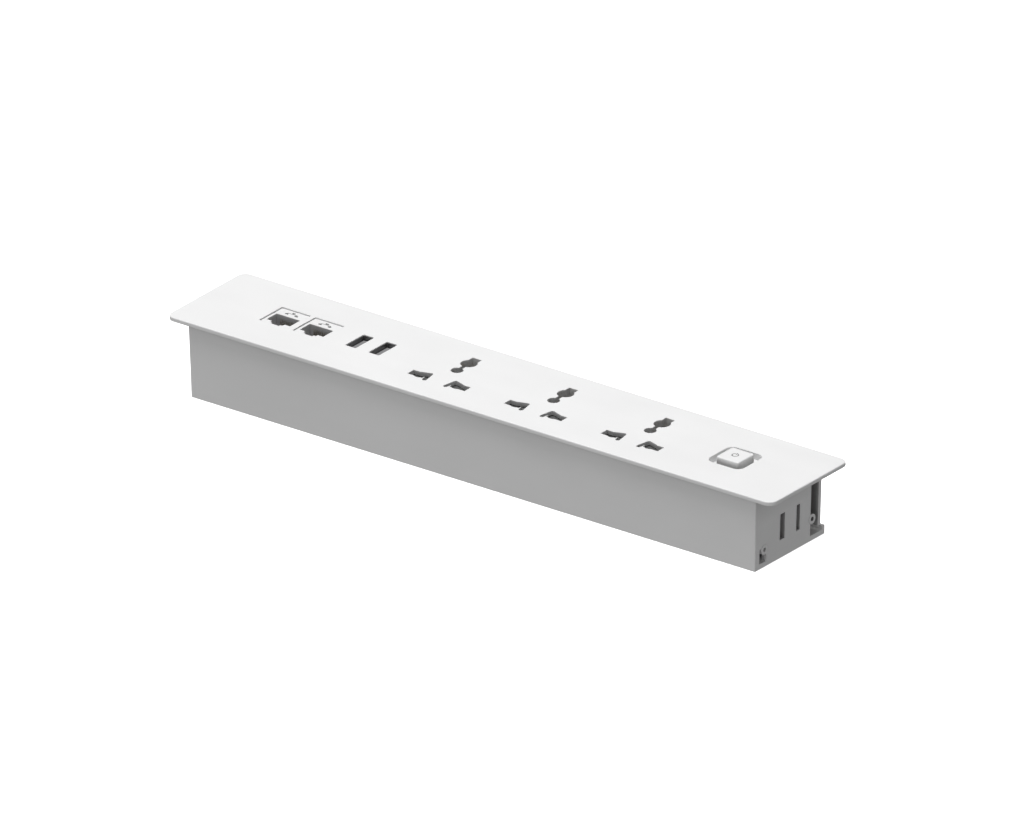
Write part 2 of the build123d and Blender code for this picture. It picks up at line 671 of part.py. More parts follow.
def earth_busbar():
    overhang = 6.0
    clip_half = 4.8
    clip_y = 9.6
    bar = slab(STRIP_LEFT, SOCKET_XS[-1] + overhang, *EARTH_STRIP_Y, *STRIP_Z)
    clip = extrude(Plane.XZ * contact_clip(wide=3.0, narrow=1.9), clip_half, both=True)
    for x in SOCKET_XS:
        bar += Pos(x, clip_y, 0) * clip
    return bar


# ---- push switch -------------------------------------------------------------------------
def button_cap():
    """Hollow cap that tapers in a little towards its top, with a rounded top edge."""
    base_corner = 1.4
    top_corner = 1.0
    rounding = 0.5
    wall = 1.5
    low = Pos(0, 0, CAP_BASE) * RectangleRounded(CAP_BASE_SIZE, CAP_BASE_SIZE, base_corner)
    high = Pos(0, 0, CAP_TOP) * RectangleRounded(CAP_TOP_SIZE, CAP_TOP_SIZE, top_corner)
    cap = loft([low, high])
    cap = fillet(cap.faces().sort_by(Axis.Z)[-1].edges(), rounding)
    inside = CAP_BASE_SIZE / 2 - wall
    cap -= slab(-inside, inside, -inside, inside, CAP_BASE, CAP_TOP - CAP_ROOF)
    cap -= extrude(Pos(0, 0, CAP_TOP - SYMBOL_DEPTH) * symbol_outline(), SYMBOL_DEPTH)
    return Pos(BUTTON_X, BUTTON_Y, 0) * cap


def symbol_outline():
    """Generic on-off sign: an open ring with a bar through its gap."""
    ring = Circle(SYMBOL_RADIUS) - Circle(SYMBOL_RADIUS - SYMBOL_LINE)
    gap = 3 * SYMBOL_LINE
    ring -= Pos(0, SYMBOL_RADIUS) * Rectangle(gap, SYMBOL_RADIUS)
    bar = Pos(0, SYMBOL_RADIUS * 0.75) * Rectangle(SYMBOL_LINE, SYMBOL_RADIUS)
    return ring + bar


def power_symbol():
    """Inlaid sign, flush with the top of the cap."""
    sign = extrude(Pos(0, 0, CAP_TOP - SYMBOL_DEPTH) * symbol_outline(), SYMBOL_DEPTH)
    return [Pos(BUTTON_X, BUTTON_Y, 0) * solid for solid in sign.solids()]


def switch_plunger():
    """Stem under the cap; a shelf at its front carries the contact bridge."""
    half = 4.5
    shelf_half = 4.0
    shelf_y = (-6.0, -3.4)
    shelf_top = 24.0
    pilot_bottom = 17.0
    pilot_radius = 1.2
    stem = slab(-half, half, -half, half, PLUNGER_BOTTOM, CAP_TOP - CAP_ROOF)
    stem += slab(-shelf_half, shelf_half, *shelf_y, PLUNGER_BOTTOM, shelf_top)
    stem += rod(0, 0, pilot_bottom, PLUNGER_BOTTOM, pilot_radius)
    return Pos(BUTTON_X, BUTTON_Y, 0) * stem


def contact_bridge():
    half = 5.0
    bridge = slab(-half, half, TERMINAL_Y - 1, TERMINAL_Y + 1, *BRIDGE_Z)
    return Pos(BUTTON_X, BUTTON_Y, 0) * bridge


def return_spring():
    """Spring between the housing floor and the underside of the plunger."""
    spring = coil(wire_radius=0.25, radius=1.9, turns=6, length=PLUNGER_BOTTOM - CAVITY_FLOOR)
    return Pos(BUTTON_X, BUTTON_Y, CAVITY_FLOOR) * spring


def switch_housing():
    ear_end = 14.5
    ear_half = 3.0
    slot_half = (1.6, 0.6)
    top = WELL_BOTTOM
    body = slab(-HOUSING_HALF, HOUSING_HALF, -HOUSING_HALF, HOUSING_HALF, HOUSING_BOTTOM, top)
    for side in (-1, 1):
        ear = sorted((side * HOUSING_HALF, side * ear_end))
        body += slab(*ear, -ear_half, ear_half, top - EAR_THICK, top)
        body -= rod(side * SWITCH_SCREW_X, 0, top - EAR_THICK, top, CLEARANCE_RADIUS)
        slot_x = side * TERMINAL_X
        body -= slab(slot_x - slot_half[0], slot_x + slot_half[0], TERMINAL_Y - slot_half[1],
                     TERMINAL_Y + slot_half[1], HOUSING_BOTTOM, CAVITY_FLOOR)
    body -= slab(-CAVITY_HALF, CAVITY_HALF, -CAVITY_HALF, CAVITY_HALF, CAVITY_FLOOR, top)
    return Pos(BUTTON_X, BUTTON_Y, 0) * body


def switch_terminals():
    """Two fixed contacts whose blades pass through the housing floor."""
    half_width = 1.5
    half_thick = 0.5
    blade_top = 18.6
    stud_radius = 0.9
    contact_gap = 0.1                    # left under the bridge when the button is down
    stud_top = BRIDGE_Z[0] - BUTTON_TRAVEL - contact_gap
    blade = slab(-half_width, half_width, TERMINAL_Y - half_thick, TERMINAL_Y + half_thick,
                 TERMINAL_BOTTOM, blade_top)
    blade += rod(0, TERMINAL_Y, blade_top, stud_top, stud_radius)
    return [Pos(BUTTON_X + side * TERMINAL_X, BUTTON_Y, 0) * blade for side in (-1, 1)]


# ---- terminal block and leads ------------------------------------------------------------
def terminal_block():
    block = slab(*BLOCK_X, *BLOCK_Y, FLOOR, BLOCK_TOP)
    for y in POLE_YS:
        block -= slab(*BLOCK_X, y - POLE_HALF, y + POLE_HALF, *POLE_Z)
        for x in POLE_SCREW_XS:
            block -= rod(x, y, POLE_Z[1], BLOCK_TOP, POLE_HALF)
    return block


def terminal_clamps():
    """One brass cage in each pole, bored for the leads."""
    bore = 0.8
    half = POLE_HALF - CLAMP_GAP
    clamps = []
    for y in POLE_YS:
        cage = slab(*CLAMP_X, y - half, y + half, POLE_Z[0] + CLAMP_GAP, POLE_Z[1] - CLAMP_GAP)
        clamps.append(cage - rod_x(*CLAMP_X, y, CLAMP_Z, bore))
    return clamps


def terminal_screws():
    """Slotted grub screws above the clamps."""
    radius = 1.0
    top = 12.8
    slot_bottom = 12.3
    slot_half = (0.8, 0.2)
    one = rod(0, 0, POLE_Z[1], top, radius)
    one -= slab(-slot_half[0], slot_half[0], -slot_half[1], slot_half[1], slot_bottom, top)
    return [Pos(x, y, 0) * one for y in POLE_YS for x in POLE_SCREW_XS]


def leads():
    """The internal leads, each from a clamp or strip end to where it is joined."""
    low = 4.6
    strip = (STRIP_Z[0] + STRIP_Z[1]) / 2
    line_y = sum(LINE_STRIP_Y) / 2
    neutral_y = sum(NEUTRAL_STRIP_Y) / 2
    earth_y = sum(EARTH_STRIP_Y) / 2
    clamp_x = CLAMP_X[1]
    first, second, third = POLE_YS
    neutral = wire([(clamp_x, first, CLAMP_Z), (-120, first, CLAMP_Z), (-112, 12.2, low),
                    (-82, 12.2, low), (-64, neutral_y, low), (-58, neutral_y, strip),
                    (NEUTRAL_LEFT, neutral_y, strip)], 2.0, LEAD_RADIUS)
    earth = wire([(clamp_x, second, CLAMP_Z), (-120, second, CLAMP_Z), (-112, 14.8, low),
                  (-66, 14.8, low), (-56, earth_y, strip), (STRIP_LEFT, earth_y, strip)],
                 2.0, LEAD_RADIUS)
    terminal_x = BUTTON_X - TERMINAL_X - 1.5
    terminal_y = BUTTON_Y + TERMINAL_Y
    live = wire([(clamp_x, third, CLAMP_Z), (-120, third, CLAMP_Z), (-112, 17.6, low),
                 (84, 17.6, low), (103, -1.5, low), (107, terminal_y, strip),
                 (terminal_x, terminal_y, strip)], 1.8, LEAD_RADIUS)
    switched_x = BUTTON_X + TERMINAL_X
    switched = wire([(switched_x, terminal_y - 0.5, strip), (switched_x, line_y, strip),
                     (STRIP_RIGHT, line_y, strip)], 4.0, LEAD_RADIUS)
    solder = BOARD_TOP - BOARD_THICK
    feed_line = wire([(STRIP_LEFT, line_y, strip), (-55.0, line_y, strip),
                      (-57.0, -12.0, 13.0), (-57.0, -12.0, solder)], 1.5, FEED_RADIUS)
    feed_neutral = wire([(-47.5, neutral_y, STRIP_Z[1]), (-47.5, neutral_y, 13.0),
                         (-57.0, -4.0, 14.0), (-57.0, -4.0, solder)], 1.5, FEED_RADIUS)
    return neutral, earth, live, switched, feed_line, feed_neutral


# ---- fasteners ---------------------------------------------------------------------------
def cover_screws():
    """Screws from below, through the floor into the cover's posts."""
    one = Rot(180, 0, 0) * screw(head_radius=2.6, head_height=1.3, length=12.0)
    return [Pos(x, y, SINK_DEPTH) * one for x, y in POSTS]


def panel_screws():
    """Screws from behind, through the rear panel into the cover's lugs."""
    one = Rot(-90, 0, 0) * screw(head_radius=2.3, head_height=1.2, length=6.0)
    return [Pos(x, PANEL_BACK, PANEL_SCREW_Z) * one for x in PANEL_LUGS]


def carrier_screws():
    one = Rot(180, 0, 0) * screw(head_radius=2.3, head_height=1.2, length=9.0)
    return [Pos(x + side * CARRIER_SCREWS[0], CARRIER_SCREWS[1], CARRIER_SCREW_SEAT) * one
            for x in SOCKET_XS for side in (-1, 1)]


def board_screws():
    one = Rot(180, 0, 0) * screw(head_radius=2.1, head_height=1.2, length=7.0)
    return [Pos(x, y, BOARD_TOP - BOARD_THICK) * one for x, y in BOARD_SCREWS]


def switch_screws():
    one = Rot(180, 0, 0) * screw(head_radius=2.0, head_height=1.1, length=5.0)
    return [Pos(BUTTON_X + side * SWITCH_SCREW_X, BUTTON_Y, WELL_BOTTOM - EAR_THICK) * one
            for side in (-1, 1)]


# ---- write every node --------------------------------------------------------------------
save("top_cover", top_cover())
save("body_tray", body_tray())
save("rear_panel", rear_panel())
for name, piece in zip(("cable_gland", "gland_seal", "gland_nut"), gland_parts()):
    save(name, piece)

for number, x in enumerate(JACK_XS, 1):
    save(f"jack_body_{number}", jack_body(x))
    save(f"jack_contacts_{number}", *jack_contacts(x))

for number, x in enumerate(USB_XS, 1):
    save(f"usb_shell_{number}", usb_shell(x))
    save(f"usb_tongue_{number}", usb_tongue(x))
    save(f"usb_contacts_{number}", *usb_contacts(x))
save("usb_board", usb_board())
for name, piece in zip(("transformer_core", "transformer_coil"), transformer()):
    save(name, piece)
save("board_capacitors", *board_capacitors())
save("board_chips", *board_chips())

for number, x in enumerate(SOCKET_XS, 1):
    save(f"socket_carrier_{number}", socket_carrier(x))
    save(f"shutter_{number}", shutter(x))
    save(f"shutter_springs_{number}", *shutter_springs(x))
save("line_busbar", line_busbar())
save("neutral_busbar", neutral_busbar())
save("earth_busbar", earth_busbar())

save("button_cap", button_cap())
save("power_symbol", *power_symbol())
save("switch_plunger", switch_plunger())
save("contact_bridge", contact_bridge())
save("return_spring", return_spring())
save("switch_housing", switch_housing())
save("switch_terminals", *switch_terminals())

save("terminal_block", terminal_block())
save("terminal_clamps", *terminal_clamps())
save("terminal_screws", *terminal_screws())
neutral_lead, earth_lead, live_lead, switched_lead, *usb_feeds = leads()
save("neutral_lead", neutral_lead)
save("earth_lead", earth_lead)
save("live_lead", live_lead)
save("switched_lead", switched_lead)
save("usb_feed_leads", *usb_feeds)

save("cover_screws", *cover_screws())
save("panel_screws", *panel_screws())
save("carrier_screws", *carrier_screws())
save("board_screws", *board_screws())
save("switch_screws", *switch_screws())
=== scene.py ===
import bpy, bmesh, json, math
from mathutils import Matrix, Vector


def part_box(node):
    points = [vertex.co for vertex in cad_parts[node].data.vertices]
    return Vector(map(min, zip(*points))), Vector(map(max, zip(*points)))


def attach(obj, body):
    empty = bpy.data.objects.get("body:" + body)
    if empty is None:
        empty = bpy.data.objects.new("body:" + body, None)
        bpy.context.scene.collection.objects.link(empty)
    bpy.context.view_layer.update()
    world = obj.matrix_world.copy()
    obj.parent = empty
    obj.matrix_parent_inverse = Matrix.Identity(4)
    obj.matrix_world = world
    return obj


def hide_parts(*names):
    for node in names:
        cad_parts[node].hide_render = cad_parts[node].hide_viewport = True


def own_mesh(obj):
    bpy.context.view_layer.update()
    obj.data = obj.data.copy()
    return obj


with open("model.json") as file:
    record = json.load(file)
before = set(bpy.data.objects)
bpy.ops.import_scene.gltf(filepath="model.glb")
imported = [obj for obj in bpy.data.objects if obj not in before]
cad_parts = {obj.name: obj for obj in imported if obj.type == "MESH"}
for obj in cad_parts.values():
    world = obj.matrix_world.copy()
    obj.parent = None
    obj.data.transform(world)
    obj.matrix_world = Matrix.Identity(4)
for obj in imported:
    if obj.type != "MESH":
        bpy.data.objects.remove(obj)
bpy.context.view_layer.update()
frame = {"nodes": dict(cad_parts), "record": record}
scene = bpy.context.scene
nodes = frame["nodes"]
MM = 0.001

# ---- where things are, read from the frame -------------------------------------------------
cover_low, cover_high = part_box("top_cover")
plate_centre = Vector(((cover_low.x + cover_high.x) / 2, (cover_low.y + cover_high.y) / 2,
                       cover_high.z))

# ---- camera: a parallel view from the front right --------------------------------------------
AZIMUTH = math.radians(36.7)
ELEVATION = math.radians(24.67)
VIEW_WIDTH = 419.84 * MM
AIM_RIGHT = 1.81 * MM
AIM_DOWN = 11.22 * MM
CAMERA_AWAY = 1.2
CAMERA_REACH = 20

back = Vector((math.sin(AZIMUTH) * math.cos(ELEVATION), -math.cos(AZIMUTH) * math.cos(ELEVATION),
               math.sin(ELEVATION)))
right = Vector((math.cos(AZIMUTH), math.sin(AZIMUTH), 0))
up = back.cross(right)
camera_data = bpy.data.cameras.new("camera")
camera_data.type = "ORTHO"
camera_data.ortho_scale = VIEW_WIDTH
camera_data.clip_end = CAMERA_REACH
camera = bpy.data.objects.new("camera", camera_data)
aim = plate_centre + right * AIM_RIGHT - up * AIM_DOWN
camera.location = aim + back * CAMERA_AWAY
camera.rotation_euler = (-back).to_track_quat("-Z", "Y").to_euler()
scene.collection.objects.link(camera)
scene.camera = camera
scene.view_settings.view_transform = "Standard"

# ---- light and floor -------------------------------------------------------------------------
SKY_LEVEL = 0.15
KEY_FROM = Vector((-0.04, -0.06, 1.0))
KEY_AWAY = 1.4
KEY_SIZE = 0.8
KEY_POWER = 19.2
SIDE_AWAY = 1.4
SIDE_HEIGHT = 0.10
SIDE_WIDTH = 1.1
SIDE_TALL = 0.45
# name, direction from the cover and power in watts of each side light
SIDE_POWERS = (("front", (0, -1), 4.5), ("right", (1, 0), 2.1),
               ("rear", (0, 1), 4.5), ("left", (-1, 0), 4.5))


def area_light(name, place, width, height, power):
    """A soft box that faces the middle of the cover."""
    data = bpy.data.lights.new(name, "AREA")
    data.shape = "RECTANGLE"
    data.size = width
    data.size_y = height
    data.energy = power
    lamp = bpy.data.objects.new(name, data)
    lamp.location = place
    lamp.rotation_euler = (plate_centre - place).to_track_quat("-Z", "Y").to_euler()
    lamp.visible_camera = False
    scene.collection.objects.link(lamp)
    return lamp


area_light("key", plate_centre + KEY_FROM.normalized() * KEY_AWAY, KEY_SIZE, KEY_SIZE, KEY_POWER)
for name, (x, y), power in SIDE_POWERS:
    area_light(name, Vector((x * SIDE_AWAY, y * SIDE_AWAY, SIDE_HEIGHT)), SIDE_WIDTH, SIDE_TALL,
               power)

world = bpy.data.worlds.new("studio")
world.use_nodes = True
world.node_tree.nodes["Background"].inputs["Color"].default_value = (1, 1, 1, 1)
world.node_tree.nodes["Background"].inputs["Strength"].default_value = SKY_LEVEL
scene.world = world

FLOOR_HALF = 4.0
FLOOR_COLOUR = (0.9, 0.9, 0.9, 1)
FLOOR_GLOW = 1.0
floor_mesh = bpy.data.meshes.new("floor")
floor_mesh.from_pydata([(-FLOOR_HALF, -FLOOR_HALF, 0), (FLOOR_HALF, -FLOOR_HALF, 0),
                        (FLOOR_HALF, FLOOR_HALF, 0), (-FLOOR_HALF, FLOOR_HALF, 0)],
                       [], [(0, 1, 2, 3)])
floor = bpy.data.objects.new("floor", floor_mesh)
scene.collection.objects.link(floor)
floor_paint = bpy.data.materials.new("floor_paint")
floor_paint.use_nodes = True
floor_shader = floor_paint.node_tree.nodes["Principled BSDF"]
floor_shader.inputs["Base Color"].default_value = FLOOR_COLOUR
floor_shader.inputs["Roughness"].default_value = 1.0
floor_shader.inputs["Specular IOR Level"].default_value = 0.0
floor_shader.inputs["Emission Color"].default_value = (1, 1, 1, 1)
floor_shader.inputs["Emission Strength"].default_value = FLOOR_GLOW
floor_mesh.materials.append(floor_paint)
floor.visible_diffuse = False
floor.visible_glossy = False
floor.visible_shadow = False


# ---- material building blocks ----------------------------------------------------------------
NOISE_RANGE = (0.3, 0.7)                 # where nearly all of a noise texture's values lie
CLOUD_RANGE = (0.35, 0.7)
EDGE_TURN = (0.995, 0.8)                 # cosine of the turn from flat face to full edge


class Paint:
    """A Principled material with helpers that add procedural detail in object space."""

    def __init__(self, name, roughness, metallic=0.0, specular=0.5, coat=0.0):
        self.material = bpy.data.materials.new(name)
        self.material.use_nodes = True
        self.tree = self.material.node_tree
        self.shader = self.tree.nodes["Principled BSDF"]
        self.shader.inputs["Roughness"].default_value = roughness
        self.shader.inputs["Metallic"].default_value = metallic
        self.shader.inputs["Specular IOR Level"].default_value = specular
        self.shader.inputs["Coat Weight"].default_value = coat
        self.place = self.node("ShaderNodeTexCoord").outputs["Object"]

    def node(self, kind, **inputs):
        """A new node with the given input values; an underscore stands for a space."""
        made = self.tree.nodes.new(kind)
        for key, value in inputs.items():
            made.inputs[key.replace("_", " ")].default_value = value
        return made

    def link(self, source, target):
        self.tree.links.new(source, target)

    def math(self, operation, a, b=None):
        """The result of a maths node on sockets or plain numbers."""
        made = self.node("ShaderNodeMath")
        made.operation = operation
        for socket, value in zip(made.inputs, (a, b)):
            if isinstance(value, bpy.types.NodeSocket):
                self.link(value, socket)
            elif value is not None:
                socket.default_value = value
        return made.outputs[0]

    def noise(self, scale, detail=2.0, stretch=(1, 1, 1)):
        """Object-space noise, finer along an axis the more it is stretched."""
        mapping = self.node("ShaderNodeMapping")
        mapping.inputs["Scale"].default_value = stretch
        self.link(self.place, mapping.inputs["Vector"])
        made = self.node("ShaderNodeTexNoise", Scale=scale, Detail=detail)
        self.link(mapping.outputs[0], made.inputs["Vector"])
        return made.outputs[0]

    def spread(self, value, low, high, out_low=0.0, out_high=1.0):
        """Maps the range low to high onto out_low to out_high, clamped at both ends."""
        made = self.node("ShaderNodeMapRange")
        self.link(value, made.inputs["Value"])
        for socket, number in zip(("From Min", "From Max", "To Min", "To Max"),
                                  (low, high, out_low, out_high)):
            made.inputs[socket].default_value = number
        return made.outputs[0]

    def mix(self, factor, a, b):
        """A blend of two colours, given as sockets or as RGB."""
        made = self.node("ShaderNodeMix")
        made.data_type = "RGBA"
        self.link(factor, made.inputs[0])
        for socket, value in ((made.inputs[6], a), (made.inputs[7], b)):
            if isinstance(value, bpy.types.NodeSocket):
                self.link(value, socket)
            else:
                socket.default_value = (*value, 1)
        return made.outputs[2]

    def colour(self, source):
        self.link(source, self.shader.inputs["Base Color"])

    def roughness(self, value, low, high):
        """Roughness from low to high as a noise value goes through its middle range."""
        self.link(self.spread(value, *NOISE_RANGE, low, high), self.shader.inputs["Roughness"])

    def relief(self, height, depth, edge=0.0):
        """Bump of the given depth over edges that look rounded by the given radius."""
        bump = self.node("ShaderNodeBump", Distance=depth, Strength=1.0)
        self.link(height, bump.inputs["Height"])
        if edge:
            bevel = self.node("ShaderNodeBevel", Radius=edge)
            self.link(bevel.outputs[0], bump.inputs["Normal"])
        self.link(bump.outputs[0], self.shader.inputs["Normal"])

    def edge_mask(self, radius):
        """1 along sharp edges, 0 on flat faces."""
        bevel = self.node("ShaderNodeBevel", Radius=radius)
        geometry = self.node("ShaderNodeNewGeometry")
        dot = self.node("ShaderNodeVectorMath")
        dot.operation = "DOT_PRODUCT"
        self.link(bevel.outputs[0], dot.inputs[0])
        self.link(geometry.outputs["Normal"], dot.inputs[1])
        return self.spread(dot.outputs["Value"], *EDGE_TURN)

    def openness(self, reach):
        """1 on open surfaces, towards 0 deep in corners and slots narrower than the reach."""
        return self.node("ShaderNodeAmbientOcclusion", Distance=reach).outputs["AO"]

    def darken(self, openness, low, high, depth):
        """Multiplies the colour by depth where openness is at or below low."""
        body = self.shader.inputs["Base Color"].links[0].from_socket
        shadow = self.node("ShaderNodeMix")
        shadow.data_type = "RGBA"
        shadow.blend_type = "MULTIPLY"
        shadow.inputs[0].default_value = 1.0
        self.link(body, shadow.inputs[6])
        self.link(self.spread(openness, low, high, depth, 1.0), shadow.inputs[7])
        self.colour(shadow.outputs[2])

    def axis(self, index):
        """The object-space coordinate along X, Y or Z, in metres."""
        split = self.node("ShaderNodeSeparateXYZ")
        self.link(self.place, split.inputs[0])
        return split.outputs[index]


def shade(colour, factor):
    """A lighter or darker version of a colour."""
    return tuple(min(1.0, channel * factor) for channel in colour)


GRAIN_SCALE = 2600.0
GRAIN_DEPTH = 0.012 * MM
FLOW_SCALE = 28.0
FLOW_STRETCH = (1.0, 2.4, 2.4)           # mould flow runs along the strip
DRAWN_SCALE = 3000.0
DRAWN_DEPTH = 0.008 * MM
TARNISH_SCALE = 160.0
TARNISH = 0.12
PLASTIC_EDGE_WEAR_AND_HIGHLIGHT = 1.04
METAL_EDGE_WEAR_AND_HIGHLIGHT = 1.15


def moulded(name, colour, roughness=0.45, grain=1.0, mottle=0.03, edge=0.15 * MM, specular=0.4):
    """Injection-moulded plastic: spark-eroded grain, faint flow mottling, worn edges with painted
    highlight.
    """
    paint = Paint(name, roughness, specular=specular)
    flow = paint.noise(FLOW_SCALE, 3.0, FLOW_STRETCH)
    fine = paint.noise(GRAIN_SCALE, 2.0)
    body = paint.mix(paint.spread(flow, *NOISE_RANGE), shade(colour, 1 - mottle), colour)
    if edge:
        # edges lighter in colour: partly wear, partly a painted highlight
        body = paint.mix(paint.edge_mask(edge), body, shade(colour, PLASTIC_EDGE_WEAR_AND_HIGHLIGHT))
    paint.colour(body)
    paint.roughness(flow, roughness - 0.05, roughness + 0.07)
    paint.relief(fine, GRAIN_DEPTH * grain, edge)
    return paint


def metal(name, colour, roughness, stretch=(1, 1, 1), edge=0.06 * MM):
    """Sheet or drawn metal: fine lines along the stretch, slight tarnish, edges brighter by wear
    and painted highlight.
    """
    paint = Paint(name, roughness, metallic=1.0)
    lines = paint.noise(DRAWN_SCALE, 3.0, stretch)
    cloud = paint.noise(TARNISH_SCALE, 3.0)
    body = paint.mix(paint.spread(cloud, *CLOUD_RANGE), colour, shade(colour, 1 - TARNISH))
    if edge:
        # edges brighter in colour: partly wear, partly a painted highlight
        body = paint.mix(paint.edge_mask(edge), body, shade(colour, METAL_EDGE_WEAR_AND_HIGHLIGHT))
    paint.colour(body)
    paint.roughness(cloud, roughness - 0.06, roughness + 0.12)
    paint.relief(lines, DRAWN_DEPTH, edge)
    return paint


# ---- materials for each slot -----------------------------------------------------------------
WHITE = (0.885, 0.885, 0.885)
CORNER_REACH = 14 * MM                   # how wide a corner of the tray still gathers shade
SLOT_REACH = 4.5 * MM                    # the same for the gap around the button
CAP_SHADE = (0.3, 0.95, 0.36)            # openness of full and of no shade, and its depth
TRAY_SHADE = (0.15, 1.0, 0.4)
OPENING_SHADE = 0.7
ALONG_X = (0.08, 1, 1)
ALONG_Z = (1, 1, 0.08)
paints = {}
paints["cap"] = moulded("cap_white", (0.9, 0.9, 0.9), 0.32, grain=0.35, mottle=0.01)
paints["cap"].darken(paints["cap"].openness(SLOT_REACH), *CAP_SHADE)
paints["carrier_plastic"] = moulded("carrier_offwhite", (0.62, 0.62, 0.6), 0.5)
# the shutters are coloured dark grey as painted shade for the socket holes
paints["shutter_plastic"] = moulded("shutter_painted_shade_grey", (0.11, 0.11, 0.11), 0.6, specular=0.2)
paints["tongue_plastic"] = moulded("tongue_grey", (0.27, 0.27, 0.275), 0.5, grain=0.6)
paints["ferrite"] = moulded("ferrite_black", (0.045, 0.045, 0.05), 0.62, grain=2.5, mottle=0.3)
paints["chip_plastic"] = moulded("chip_black", (0.02, 0.02, 0.022), 0.55, grain=1.5, mottle=0.2)
paints["gland_nylon"] = moulded("gland_grey", (0.62, 0.62, 0.61), 0.4, grain=0.6)
paints["block_nylon"] = moulded("block_natural", (0.72, 0.7, 0.62), 0.45, grain=0.7)
paints["seal_rubber"] = moulded("seal_black", (0.03, 0.03, 0.03), 0.75, grain=2.0, mottle=0.25,
                                specular=0.25)
paints["spring_steel"] = metal("spring_steel", (0.6, 0.6, 0.61), 0.28, edge=0)
paints["contact_brass"] = metal("contact_brass", (0.78, 0.57, 0.25), 0.3, ALONG_X)
paints["gold_contact"] = metal("contact_gold", (0.62, 0.58, 0.5), 0.3, ALONG_Z, edge=0)
paints["plated_shell"] = metal("shell_nickel", (0.3, 0.3, 0.305), 0.42, ALONG_Z)
paints["screw_steel"] = metal("screw_zinc", (0.62, 0.62, 0.64), 0.3)


def symbol_paint():
    """Grey inlay with a slightly uneven, matt surface."""
    paint = Paint("symbol_grey", 0.5)
    cloud = paint.noise(900.0, 3.0)
    paint.colour(paint.mix(paint.spread(cloud, *NOISE_RANGE), (0.06, 0.06, 0.061),
                           (0.09, 0.09, 0.091)))
    paint.relief(cloud, 0.01 * MM)
    return paint


def casing_paint():
    """White cover; the walls of its narrow openings are shaded, but not its rim or its well."""
    top = cover_high.z
    rim_start = cover_high.y - 6 * MM
    well_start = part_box("button_cap")[0].x - 10 * MM
    fade = 1 * MM
    paint = moulded("casing_white", WHITE, 0.42, grain=0.8, mottle=0.012, edge=0.3 * MM)
    below_top = paint.spread(paint.axis(2), top - 0.1 * MM, top - 0.3 * MM)
    off_rim = paint.spread(paint.math("ABSOLUTE", paint.axis(1)), rim_start, rim_start - fade)
    off_well = paint.spread(paint.axis(0), well_start, well_start - fade)
    inside = paint.math("MULTIPLY", paint.math("MULTIPLY", below_top, off_rim), off_well)
    paint.darken(inside, 1.0, 0.0, OPENING_SHADE)
    return paint


def tray_paint():
    """White tray; shade gathers under the flange and in the channel, but not by the floor."""
    low_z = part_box("body_tray")[0].z
    front_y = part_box("body_tray")[0].y
    floor_band = (low_z + 5 * MM, low_z + 3.5 * MM)
    notch_band = (low_z + 11 * MM, low_z + 9 * MM)
    notch_back = (front_y + 10 * MM, front_y + 9 * MM)
    paint = moulded("tray_white", WHITE, 0.5, grain=1.4, mottle=0.02)
    by_floor = paint.spread(paint.axis(2), *floor_band)
    low = paint.spread(paint.axis(2), *notch_band)
    in_front = paint.spread(paint.axis(1), *notch_back)
    lit = paint.math("MAXIMUM", by_floor, paint.math("MULTIPLY", low, in_front))
    paint.darken(paint.math("MAXIMUM", paint.openness(CORNER_REACH), lit), *TRAY_SHADE)
    return paint


def jack_paint():
    """White face; the port below it is coloured grey as painted shade."""
    paint = moulded("jack_white_port_painted_shade", WHITE, 0.45, grain=0.7, mottle=0.015)
    face_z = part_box("jack_body_1")[1].z
    # painted shade: below the face the port walls turn grey to stand in for shade inside
    depth = paint.spread(paint.axis(2), face_z - 0.25 * MM, face_z - 0.05 * MM)
    white = paint.shader.inputs["Base Color"].links[0].from_socket
    grey = paint.mix(paint.noise(400.0, 2.0), (0.5, 0.5, 0.505), (0.55, 0.55, 0.555))
    paint.colour(paint.mix(depth, grey, white))
    return paint


BOARD_PITCH = 1.3 * MM


def board_paint():
    """Green solder mask over runs of straight tracks and round pads, with a glass weave."""
    paint = Paint("board_green", 0.32, specular=0.5, coat=0.3)
    along, across = (paint.spread(paint.math("PINGPONG", paint.axis(index), BOARD_PITCH / 2),
                                  0.16 * BOARD_PITCH, 0.12 * BOARD_PITCH) for index in (0, 1))
    turned = paint.spread(paint.noise(75.0, 0.0), 0.495, 0.505)
    tracks = paint.mix(turned, along, across)
    dots = paint.node("ShaderNodeTexVoronoi", Scale=330.0, Randomness=0.35)
    dots.voronoi_dimensions = "2D"
    paint.link(paint.place, dots.inputs["Vector"])
    pads = paint.spread(dots.outputs["Distance"], 0.14, 0.1)
    mask = paint.mix(tracks, (0.012, 0.11, 0.04), (0.04, 0.2, 0.08))
    paint.colour(paint.mix(pads, mask, (0.6, 0.6, 0.58)))
    weave = paint.noise(2200.0, 1.0, (1, 0.2, 1))
    paint.relief(paint.math("ADD", tracks, weave), 0.02 * MM)
    return paint


def tape_paint():
    """Wound yellow tape: overlapping turns with fine fibres."""
    paint = Paint("tape_yellow", 0.38, coat=0.2)
    wave = paint.node("ShaderNodeTexWave", Scale=220.0, Distortion=0.6)
    wave.bands_direction = "Z"
    paint.link(paint.place, wave.inputs["Vector"])
    turns = paint.spread(wave.outputs["Fac"], 0.0, 0.25)
    paint.colour(paint.mix(turns, (0.4, 0.26, 0.03), (0.72, 0.52, 0.08)))
    paint.relief(wave.outputs["Fac"], 0.04 * MM)
    return paint


